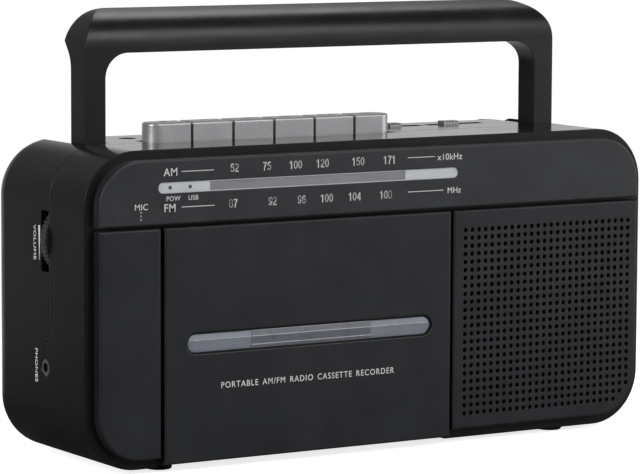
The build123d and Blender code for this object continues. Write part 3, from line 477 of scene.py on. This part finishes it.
def bar(x0, y0, x1, y1):
    """Corners of a rectangle."""
    return [(x0, y0), (x1, y0), (x1, y1), (x0, y1)]


def disc(x, y, radius, steps=28):
    """Points round a circle."""
    turn = 2 * math.pi / steps
    return [(x + radius * math.cos(i * turn), y + radius * math.sin(i * turn)) for i in range(steps)]


# ---------------------------------------------------------------- dial lettering
AM_Z = 112.4
FM_Z = 99.2
NUMERAL_HEIGHT = 3.1 * MM
RULE_HALF = 0.14
for x, text in ((-64.5, "52"), (-50.6, "75"), (-38.1, "100"), (-26.3, "120"), (-10.5, "150"), (3.6, "171")):
    place = (x * MM, FRONT_Y, AM_Z * MM)
    numerals("dial_am_" + text, text, NUMERAL_HEIGHT, place)
for x, text in ((-65.1, "87"), (-48.1, "92"), (-35.4, "96"), (-24.4, "100"), (-12.0, "104"), (2.0, "108")):
    place = (x * MM, FRONT_Y, FM_Z * MM)
    numerals("dial_fm_" + text, text, NUMERAL_HEIGHT, place)
for name, text, height, x, z in (
    ("dial_am", "AM", 2.9, -91.7, 112.0),
    ("dial_fm", "FM", 2.9, -91.9, 98.8),
    ("dial_khz", "x10kHz", 2.5, 31.1, 112.5),
    ("dial_mhz", "MHz", 2.3, 33.3, 99.5),
    ("label_power", "POW", 1.75, -90.4, 102.2),
    ("label_usb", "USB", 1.75, -82.0, 102.2),
    ("label_mic", "MIC", 2.3, -103.8, 99.6),
):
    lettering(name, text, height * MM, (x * MM, FRONT_Y, z * MM), "front", M["ink"], "case")

dial_lines = bmesh.new()
front_plane = face_matrix("front", (0, FRONT_Y, 0))
for x0, x1, z in ((-87.1, -73.4, 112.0), (11.9, 24.2, 112.8), (-86.9, -73.1, 98.9), (12.0, 28.2, 99.7)):
    prism(dial_lines, bar(x0 * MM, (z - RULE_HALF) * MM, x1 * MM, (z + RULE_HALF) * MM), front_plane)
add_mesh("dial_rules", dial_lines, M["ink"], "case")

# ---------------------------------------------------------------- door lettering and side lettering
lettering("door_line", "PORTABLE AM/FM RADIO CASSETTE RECORDER", 2.3 * MM, (-31.95 * MM, FRONT_Y, 31.6 * MM),
          "front", M["ink"], "door", width=76.3 * MM, spacing=1.2)
# The side's print and wedge use the lighter copy of the ink: painted lighter because the left side gets
# little light.
for name, text, y, z, width in (("label_volume", "VOLUME", 3.7, 83.9, 13.2),
                                ("label_phones", "PHONES", 2.7, 37.8, 12.6)):
    lettering(name, text, 2.0 * MM, (LEFT_X, y * MM, z * MM), "left_up", M["side_ink_painted_lighter"], "case",
              width=width * MM)
side_marks = bmesh.new()
side_plane = face_matrix("left", (LEFT_X, 0, 0))
wedge = ((-0.12, 77.5), (0.12, 77.5), (0.75, 90.5), (-0.75, 90.5))
prism(side_marks, [(x * MM, z * MM) for x, z in wedge], side_plane)
add_mesh("volume_wedge", side_marks, M["side_ink_painted_lighter"], "case")

# ---------------------------------------------------------------- dial window
# Two white ends and a clear middle, with pale lines along its edges.
window_low, window_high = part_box("dial_window")
window_z = (window_low.z + window_high.z) / 2
window_half = (window_high.z - window_low.z) / 2
WINDOW_FACE = FRONT_Y + 0.5 * MM


def slot_end(x, z, radius, side, steps=12):
    """Points of a half circle that closes a slot at its left (-1) or right (+1) end, from bottom to top."""
    turns = [math.pi * (i / steps - 0.5) for i in range(steps + 1)]
    return [(x + side * radius * math.cos(t), z + radius * math.sin(t)) for t in turns]


def window_part(name, outline, depth, material, y=WINDOW_FACE):
    """A plate of the dial window, its front at y."""
    made = bmesh.new()
    prism(made, outline, face_matrix("front", (0, y + depth / 2, 0)), depth)
    return add_mesh(name, made, material, "case")


WINDOW_PLAY = 0.05 * MM
inner_left, inner_right = -74.7 * MM, 11.1 * MM
low_z, high_z = window_z - window_half + WINDOW_PLAY, window_z + window_half - WINDOW_PLAY
radius = window_half - WINDOW_PLAY
left_outline = [(inner_left, high_z)] + slot_end(window_low.x + window_half, window_z, radius, -1)[::-1]
left_outline.append((inner_left, low_z))
right_outline = [(inner_right, low_z)] + slot_end(window_high.x - window_half, window_z, radius, 1)
right_outline.append((inner_right, high_z))
left_plate = window_part("dial_window_left", left_outline, 1.2 * MM, M["white_plate"])
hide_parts("dial_window")
window_part("dial_window_right", right_outline, 1.2 * MM, M["white_plate"])
window_part("dial_window_middle", bar(inner_left, low_z, inner_right, high_z), 0.8 * MM, M["dial_clear"],
            y=WINDOW_FACE + 0.15 * MM)
for name, z0, z1 in (("dial_window_upper_edge", high_z - 0.45 * MM, high_z),
                     ("dial_window_lower_edge", low_z, low_z + 0.35 * MM)):
    window_part(name, bar(inner_left, z0, inner_right, z1), 0.15 * MM, M["dial_line"])
for index, x in enumerate((-91.5, -83.1)):
    window_part("status_dot_%d" % index, disc(x * MM, window_z, 0.72 * MM), 0.08 * MM, M["led_dark"],
                WINDOW_FACE - 0.04 * MM)

# ---------------------------------------------------------------- door window
# A faceted milky bar; the gap round it is painted dark as shade, and pale strips along it are painted
# highlights.
GAP_WIDTH = 0.7 * MM
door_low, door_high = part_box("door_window")
bar_z = (door_low.z + door_high.z) / 2
bar_radius = (door_high.z - door_low.z) / 2 - GAP_WIDTH


def faceted(name, x0, x1, round_left, round_right, ridge_y, material, grow=0.0):
    """A bar along X with a ridge a third of the way down its face."""
    made = bmesh.new()
    stations = []
    full = bar_radius + grow
    for step in range(9):
        turn = math.pi / 2 * step / 8
        if round_left:
            stations.append((x0 + full * (1 - math.sin(turn)), full * math.cos(turn)))
        if round_right:
            stations.append((x1 - full * (1 - math.sin(turn)), full * math.cos(turn)))
    if not round_left:
        stations.append((x0, full))
    if not round_right:
        stations.append((x1, full))
    stations = sorted((x, max(h, 0.25 * MM)) for x, h in stations)
    rows = []
    for x, h in stations:
        fall = (1 - h / full) * 0.25 * MM
        profile = ((-h, door_high.y - 0.1 * MM), (-h, ridge_y + 0.75 * MM), (h * 0.33, ridge_y + fall),
                   (h, ridge_y + 0.60 * MM), (h, door_high.y - 0.1 * MM))
        rows.append([made.verts.new((x, y, bar_z + z)) for z, y in profile])
    for near, far in zip(rows, rows[1:]):
        for i in range(5):
            after = (i + 1) % 5
            made.faces.new((near[i], near[after], far[after], far[i]))
    made.faces.new(rows[0])
    made.faces.new(rows[-1])
    return add_mesh(name, made, material, "door", 20)


bar_face = FRONT_Y + 0.35 * MM
door_bar = faceted("door_window_bar", door_low.x + GAP_WIDTH, door_high.x - GAP_WIDTH, True, True, bar_face,
                   M["window_ends"])
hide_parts("door_window")
middle_left, middle_right = -56.8 * MM, -4.25 * MM
faceted("door_window_middle", middle_left, middle_right, False, False, bar_face - 0.2 * MM,
        M["window_middle"], 0.15 * MM)
# Pale strips along the ridge of both ends and of the middle piece, and along the middle piece's top edge and
# lower face: painted highlights.
glint = bmesh.new()
for x0, x1, z, half, y in (
    (door_low.x + 3.5 * MM, middle_left, 0.33 * bar_radius, 0.17 * MM, bar_face - 0.02 * MM),
    (middle_right, door_high.x - 2.5 * MM, 0.33 * bar_radius, 0.17 * MM, bar_face - 0.02 * MM),
    (middle_left, middle_right, 0.34 * bar_radius, 0.17 * MM, bar_face - 0.22 * MM),
    (middle_left, middle_right, 0.97 * bar_radius, 0.14 * MM, bar_face + 0.34 * MM),
    (middle_left, middle_right, -0.60 * bar_radius, 0.16 * MM, bar_face + 0.26 * MM),
):
    prism(glint, bar(x0, bar_z + z - half, x1, bar_z + z + half), face_matrix("front", (0, y, 0)), 0.12 * MM)
add_mesh("door_window_painted_highlights", glint, M["window_painted_highlight"], "door")



def slot_ring(made, inner, outer, y, end_angle):
    """A flat band round both ends of the window, from below up to that angle, and along its lower edge."""
    plane = face_matrix("front", (0, y, 0))
    end_left, end_right = door_low.x + bar_radius + GAP_WIDTH, door_high.x - bar_radius - GAP_WIDTH
    steps = 20
    turn = (end_angle + 90) / steps
    for side, end_x in ((-1, end_left), (1, end_right)):
        for step in range(steps):
            angles = [math.radians(-90 + turn * (step + extra)) for extra in (0, 1)]
            points = [(end_x + side * r * math.cos(t), bar_z + r * math.sin(t)) for r, t in
                      ((inner, angles[0]), (outer, angles[0]), (outer, angles[1]), (inner, angles[1]))]
            prism(made, points, plane, 0.03 * MM)
    prism(made, bar(end_left, bar_z - outer, end_right, bar_z - inner), plane, 0.03 * MM)
    if end_angle == 90:
        prism(made, bar(end_left, bar_z + inner, end_right, bar_z + outer), plane, 0.03 * MM)


# painted shade in the gap all round the window, and a painted highlight on the moulded edge under its lower
# half
gap = bmesh.new()
slot_ring(gap, bar_radius + 0.02 * MM, bar_radius + 0.68 * MM, FRONT_Y + 0.45 * MM, 90)
add_mesh("door_window_gap_shade", gap, M["gap_painted_shade"], "door")
# The pale band under the window's lower half is a painted highlight.
lip_highlight = bmesh.new()
slot_ring(lip_highlight, bar_radius + 0.75 * MM, bar_radius + 0.97 * MM, FRONT_Y, -20)
add_mesh("door_window_lip_highlight", lip_highlight, M["edge_highlight"], "door")

# mesh behind the microphone holes
MIC_X = -103.8 * MM
mic_mesh = bmesh.new()
mic_plane = face_matrix("front", (0, FRONT_Y + 0.2 * MM, 0))
for z in (97.6, 96.3, 95.0):
    prism(mic_mesh, disc(MIC_X, z * MM, 0.46 * MM, 14), mic_plane)
add_mesh("mic_mesh", mic_mesh, M["dim_ink"], "case")

# ---------------------------------------------------------------- key symbols, printed on the key tops
SYMBOLS = {
    "record_key": [disc(0, 0, 1.5)],
    "play_key": [[(-1.5, -1.5), (1.5, 0), (-1.5, 1.5)]],
    "rewind_key": [[(0, -1.4), (0, 1.4), (-2.2, 0)], [(2.3, -1.4), (2.3, 1.4), (0.1, 0)]],
    "fast_forward_key": [[(0, 1.4), (0, -1.4), (2.2, 0)], [(-2.3, 1.4), (-2.3, -1.4), (-0.1, 0)]],
    "stop_eject_key": [bar(-3.4, -1.2, -1.0, 1.2), [(0.4, -0.3), (3.4, -0.3), (1.9, 1.3)],
                       bar(0.4, -1.2, 3.4, -0.7)],
    "pause_key": [bar(-1.5, -1.5, -0.5, 1.5), bar(0.5, -1.5, 1.5, 1.5)],
}
for key in KEYS:
    low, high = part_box(key)
    key_middle = ((low.x + high.x) / 2, low.y + 6.8 * MM, high.z)
    symbol = bmesh.new()
    for outline in SYMBOLS[key]:
        prism(symbol, [(x * MM, y * MM) for x, y in outline], face_matrix("top", key_middle))
    add_mesh(key + "_symbol", symbol, M["dark_ink"], key)

# ---------------------------------------------------------------- camera
IMAGE_WIDTH = 640
FOCAL_PX = 3483.87
YAW = math.radians(31.72)
PITCH = math.radians(6.31)
ROLL = math.radians(0.239)
camera_data = bpy.data.cameras.new("camera")
camera_data.sensor_width = 36.0
camera_data.lens = FOCAL_PX * 36.0 / IMAGE_WIDTH
camera_data.clip_start = 0.05
camera_data.clip_end = 60.0
camera = bpy.data.objects.new("camera", camera_data)
bpy.context.scene.collection.objects.link(camera)
forward = Vector((math.sin(YAW) * math.cos(PITCH), math.cos(YAW) * math.cos(PITCH), -math.sin(PITCH)))
level_right = Vector((math.cos(YAW), -math.sin(YAW), 0))
level_up = level_right.cross(forward)
right = math.cos(ROLL) * level_right + math.sin(ROLL) * level_up
up = math.cos(ROLL) * level_up - math.sin(ROLL) * level_right
camera_matrix = Matrix((right, up, -forward)).transposed().to_4x4()
camera_matrix.translation = Vector((-0.71177, -1.14736, 0.22855))
camera.matrix_world = camera_matrix
bpy.context.scene.camera = camera

# ---------------------------------------------------------------- studio
FLOOR_RADIUS = 0.8
FLOOR_FADE = (0.50, 0.16)  # distances from the middle where the floor is gone, and where it is solid
FLOOR_PALE = (0.82, 0.82, 0.82)
FLOOR_DULLED = (0.14, 0.14, 0.14)
MIRROR_SLOPE = 0.617  # run of the left side's mirror image over the floor, X per Y
floor_bm = bmesh.new()
bmesh.ops.create_circle(floor_bm, cap_ends=True, segments=96, radius=FLOOR_RADIUS)
floor_mesh = bpy.data.meshes.new("floor")
floor_bm.to_mesh(floor_mesh)
floor_bm.free()
floor = bpy.data.objects.new("floor", floor_mesh)
bpy.context.scene.collection.objects.link(floor)
fs = Shader("floor")
light_path = fs.node("ShaderNodeLightPath")
# Mirrored in the object, the floor is dull, except behind the object.
floor_where = fs.split(fs.where())
behind = fs.ramp(floor_where["Y"], 0.05, 0.15)
across = fs.math("ADD", floor_where["X"], fs.math("MULTIPLY", floor_where["Y"], MIRROR_SLOPE))
lit_behind = fs.math("MULTIPLY", behind, fs.ramp(across, -0.08, 0.08))
dulled = fs.math("MULTIPLY", light_path.outputs["Is Glossy Ray"], fs.math("SUBTRACT", 1.0, lit_behind))
mirrored = fs.mix(dulled, FLOOR_PALE, FLOOR_DULLED)
fs.set(Base_Color=mirrored, Roughness=0.8, Specular_IOR_Level=0.1)
fs.set(Emission_Color=(1.0, 1.0, 1.0, 1.0))
fs.set(Emission_Strength=fs.math("MULTIPLY", light_path.outputs["Is Camera Ray"], 0.8))
length = fs.node("ShaderNodeVectorMath", operation="LENGTH")
fs.link(fs.where(), length.inputs[0])
fs.set(Alpha=fs.ramp(length.outputs["Value"], *FLOOR_FADE))
floor_mesh.materials.append(fs.material)

world = bpy.data.worlds.new("studio")
world.use_nodes = True
bpy.context.scene.world = world
wt = world.node_tree
wt.nodes.clear()


def world_node(kind):
    return wt.nodes.new(kind)


def world_ramp(value, low, high, out_low, out_high):
    made = world_node("ShaderNodeMapRange")
    made.interpolation_type = "SMOOTHSTEP"
    wt.links.new(value, made.inputs["Value"])
    for socket, number in zip(("From Min", "From Max", "To Min", "To Max"), (low, high, out_low, out_high)):
        made.inputs[socket].default_value = number
    return made.outputs["Result"]


def world_math(operation, first, second):
    made = world_node("ShaderNodeMath")
    made.operation = operation
    wt.links.new(first, made.inputs[0])
    wt.links.new(second, made.inputs[1])
    return made.outputs[0]


# The white backdrop stands to the right and behind, and fades upwards; the rest is dim.
w_direction = world_node("ShaderNodeTexCoord").outputs["Generated"]
w_dot = world_node("ShaderNodeVectorMath")
w_dot.operation = "DOT_PRODUCT"
w_dot.inputs[1].default_value = (0.90, 0.43, 0.0)
wt.links.new(w_direction, w_dot.inputs[0])
w_split = world_node("ShaderNodeSeparateXYZ")
wt.links.new(w_direction, w_split.inputs["Vector"])
w_side = world_ramp(w_dot.outputs["Value"], -0.12, 0.32, 0.015, 1.0)
w_rise = world_ramp(w_split.outputs["Z"], 0.02, 0.70, 1.0, 0.05)
w_glow = world_math("MULTIPLY", w_side, w_rise)
w_back = world_node("ShaderNodeBackground")
wt.links.new(w_glow, w_back.inputs["Color"])
w_back.inputs["Strength"].default_value = 0.75
w_plain = world_node("ShaderNodeBackground")
w_plain.inputs["Color"].default_value = (1.0, 1.0, 1.0, 1.0)
w_plain.inputs["Strength"].default_value = 1.02
w_seen = world_node("ShaderNodeMixShader")
wt.links.new(world_node("ShaderNodeLightPath").outputs["Is Camera Ray"], w_seen.inputs["Fac"])
wt.links.new(w_back.outputs["Background"], w_seen.inputs[1])
wt.links.new(w_plain.outputs["Background"], w_seen.inputs[2])
wt.links.new(w_seen.outputs["Shader"], world_node("ShaderNodeOutputWorld").inputs["Surface"])


def area_light(name, place, target, size, power):
    """A rectangular light at place, aimed at target, with its size in metres and its power in watts."""
    light = bpy.data.lights.new(name, "AREA")
    light.shape = "RECTANGLE"
    light.size, light.size_y = size
    light.energy = power
    obj = bpy.data.objects.new(name, light)
    bpy.context.scene.collection.objects.link(obj)
    obj.location = place
    obj.rotation_euler = (Vector(target) - Vector(place)).to_track_quat("-Z", "Y").to_euler()


MIDDLE = (0, 0, 0.08)
area_light("key_light", (0.35, -1.7, 1.15), MIDDLE, (1.5, 0.9), 23.0)
area_light("right_fill", (1.7, -0.9, 0.5), MIDDLE, (0.9, 0.9), 10.0)
area_light("left_light", (-1.9, -0.35, 0.75), (-0.1, 0, 0.08), (0.6, 1.0), 25.0)

area_light("back_light", (0.8, 1.0, 1.8), MIDDLE, (0.9, 0.7), 8.0)

bpy.context.scene.view_settings.view_transform = "Standard"
